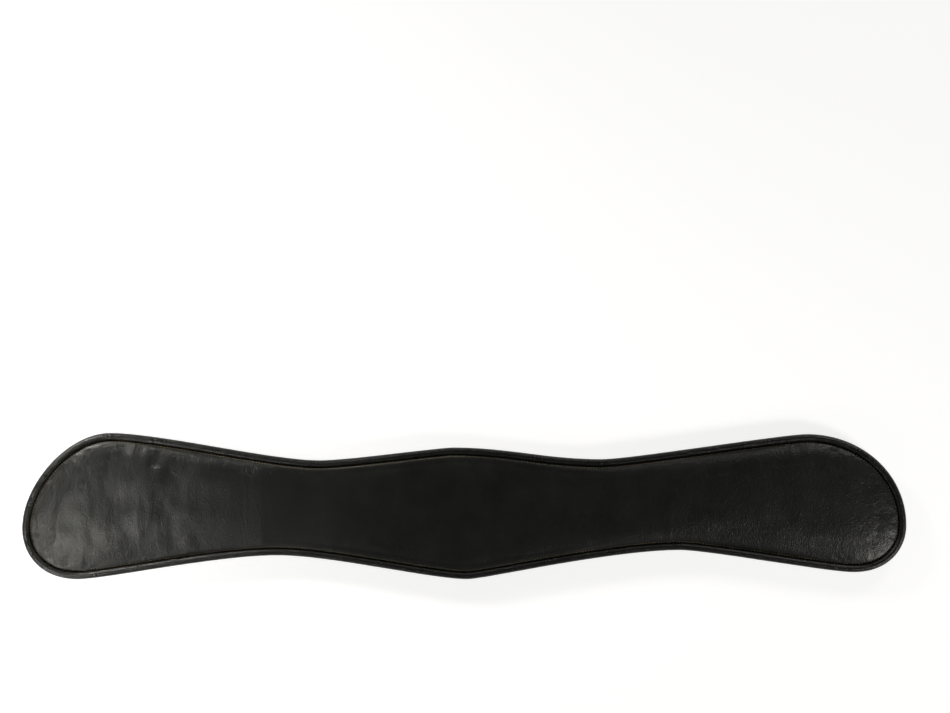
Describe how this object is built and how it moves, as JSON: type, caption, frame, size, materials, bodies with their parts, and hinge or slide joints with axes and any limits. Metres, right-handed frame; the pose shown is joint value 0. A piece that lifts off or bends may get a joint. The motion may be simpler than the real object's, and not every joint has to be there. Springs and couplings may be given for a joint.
{
  "type": "saddle girth",
  "caption": "Short contoured leather saddle girth with a padded lining, rolled edge, bending lobed wings and elasticated roller buckles at both ends.",
  "frame": {"origin": "centre of the bounding box's floor side: the girth lies flat on its outer face, on its chapes and tongues", "axes": "+X along the girth towards its right lobe, +Y towards the edge with the flatter point, +Z out of the lining that lies against the horse"},
  "size_m": [0.76, 0.126, 0.0227],
  "materials": {
    "lining_leather": "smooth, padded, fine grain",
    "rolled_leather": "polished roll",
    "strap_leather": "smooth bridle leather",
    "padding_foam": "closed-cell foam",
    "core_webbing": "woven",
    "edge_cord": "twisted cord",
    "black_elastic": "ribbed woven elastic",
    "steel": "polished stainless"
  },
  "bodies": {
    "centre": {"shell_centre": "strap_leather", "foam_centre": "padding_foam", "lining_centre": "lining_leather", "core_webbing": "core_webbing", "strap_centre": "strap_leather", "edge_roll_front": "rolled_leather", "edge_roll_rear": "rolled_leather", "edge_cord_front": "edge_cord", "edge_cord_rear": "edge_cord", "ring_chape": "strap_leather"},
    "left_wing": {"shell_left": "strap_leather", "foam_left": "padding_foam", "lining_left": "lining_leather", "edge_roll_left": "rolled_leather", "edge_cord_left": "edge_cord", "strap_left": "strap_leather", "tab_left": "strap_leather", "elastic_left_front": "black_elastic", "elastic_left_rear": "black_elastic", "keeper_left_front": "strap_leather", "keeper_left_rear": "strap_leather"},
    "right_wing": {"shell_right": "strap_leather", "foam_right": "padding_foam", "lining_right": "lining_leather", "edge_roll_right": "rolled_leather", "edge_cord_right": "edge_cord", "strap_right": "strap_leather", "tab_right": "strap_leather", "elastic_right_front": "black_elastic", "elastic_right_rear": "black_elastic", "keeper_right_front": "strap_leather", "keeper_right_rear": "strap_leather"},
    "pull_left_front": {"chape_left_front": "strap_leather"},
    "buckle_left_front": {"buckle_frame_left_front": "steel"},
    "tongue_left_front": {"buckle_tongue_left_front": "steel"},
    "roller_left_front": {"buckle_roller_left_front": "steel"},
    "pull_left_rear": {"chape_left_rear": "strap_leather"},
    "buckle_left_rear": {"buckle_frame_left_rear": "steel"},
    "tongue_left_rear": {"buckle_tongue_left_rear": "steel"},
    "roller_left_rear": {"buckle_roller_left_rear": "steel"},
    "pull_right_front": {"chape_right_front": "strap_leather"},
    "buckle_right_front": {"buckle_frame_right_front": "steel"},
    "tongue_right_front": {"buckle_tongue_right_front": "steel"},
    "roller_right_front": {"buckle_roller_right_front": "steel"},
    "pull_right_rear": {"chape_right_rear": "strap_leather"},
    "buckle_right_rear": {"buckle_frame_right_rear": "steel"},
    "tongue_right_rear": {"buckle_tongue_right_rear": "steel"},
    "roller_right_rear": {"buckle_roller_right_rear": "steel"},
    "ring": {"centre_ring": "steel"}
  },
  "joints": [
    {"name": "left_wing_bend", "type": "hinge", "parent": "centre", "child": "left_wing", "pos_m": [-0.174, 0, 0.0227], "axis": [0, 1, 0], "range_deg": [0, 40]},
    {"name": "right_wing_bend", "type": "hinge", "parent": "centre", "child": "right_wing", "pos_m": [0.174, 0, 0.0227], "axis": [0, -1, 0], "range_deg": [0, 40]},
    {"name": "stretch_left_front", "type": "slide", "parent": "left_wing", "child": "pull_left_front", "axis": [-1, 0, 0], "range_m": [0, 0.015], "stiffness_N_per_m": 600, "deforming": ["elastic_left_front"]},
    {"name": "swing_left_front", "type": "hinge", "parent": "pull_left_front", "child": "buckle_left_front", "pos_m": [-0.28, 0.0215, 0.0052], "axis": [0, -1, 0], "range_deg": [0, 45]},
    {"name": "tongue_lift_left_front", "type": "hinge", "parent": "buckle_left_front", "child": "tongue_left_front", "pos_m": [-0.28, 0.0215, 0.0052], "axis": [0, -1, 0], "range_deg": [0, 90]},
    {"name": "roller_spin_left_front", "type": "hinge", "parent": "buckle_left_front", "child": "roller_left_front", "pos_m": [-0.313, 0.0215, 0.0064], "axis": [0, 1, 0], "continuous": true},
    {"name": "stretch_left_rear", "type": "slide", "parent": "left_wing", "child": "pull_left_rear", "axis": [-1, 0, 0], "range_m": [0, 0.015], "stiffness_N_per_m": 600, "deforming": ["elastic_left_rear"]},
    {"name": "swing_left_rear", "type": "hinge", "parent": "pull_left_rear", "child": "buckle_left_rear", "pos_m": [-0.28, -0.0155, 0.0052], "axis": [0, -1, 0], "range_deg": [0, 45]},
    {"name": "tongue_lift_left_rear", "type": "hinge", "parent": "buckle_left_rear", "child": "tongue_left_rear", "pos_m": [-0.28, -0.0155, 0.0052], "axis": [0, -1, 0], "range_deg": [0, 90]},
    {"name": "roller_spin_left_rear", "type": "hinge", "parent": "buckle_left_rear", "child": "roller_left_rear", "pos_m": [-0.313, -0.0155, 0.0064], "axis": [0, 1, 0], "continuous": true},
    {"name": "stretch_right_front", "type": "slide", "parent": "right_wing", "child": "pull_right_front", "axis": [1, 0, 0], "range_m": [0, 0.015], "stiffness_N_per_m": 600, "deforming": ["elastic_right_front"]},
    {"name": "swing_right_front", "type": "hinge", "parent": "pull_right_front", "child": "buckle_right_front", "pos_m": [0.28, 0.0215, 0.0052], "axis": [0, 1, 0], "range_deg": [0, 45]},
    {"name": "tongue_lift_right_front", "type": "hinge", "parent": "buckle_right_front", "child": "tongue_right_front", "pos_m": [0.28, 0.0215, 0.0052], "axis": [0, 1, 0], "range_deg": [0, 90]},
    {"name": "roller_spin_right_front", "type": "hinge", "parent": "buckle_right_front", "child": "roller_right_front", "pos_m": [0.313, 0.0215, 0.0064], "axis": [0, 1, 0], "continuous": true},
    {"name": "stretch_right_rear", "type": "slide", "parent": "right_wing", "child": "pull_right_rear", "axis": [1, 0, 0], "range_m": [0, 0.015], "stiffness_N_per_m": 600, "deforming": ["elastic_right_rear"]},
    {"name": "swing_right_rear", "type": "hinge", "parent": "pull_right_rear", "child": "buckle_right_rear", "pos_m": [0.28, -0.0155, 0.0052], "axis": [0, 1, 0], "range_deg": [0, 45]},
    {"name": "tongue_lift_right_rear", "type": "hinge", "parent": "buckle_right_rear", "child": "tongue_right_rear", "pos_m": [0.28, -0.0155, 0.0052], "axis": [0, 1, 0], "range_deg": [0, 90]},
    {"name": "roller_spin_right_rear", "type": "hinge", "parent": "buckle_right_rear", "child": "roller_right_rear", "pos_m": [0.313, -0.0155, 0.0064], "axis": [0, 1, 0], "continuous": true},
    {"name": "ring_swing", "type": "hinge", "parent": "centre", "child": "ring", "pos_m": [0, -0.022, 0.0039], "axis": [1, 0, 0], "range_deg": [0, 140]}
  ]
}
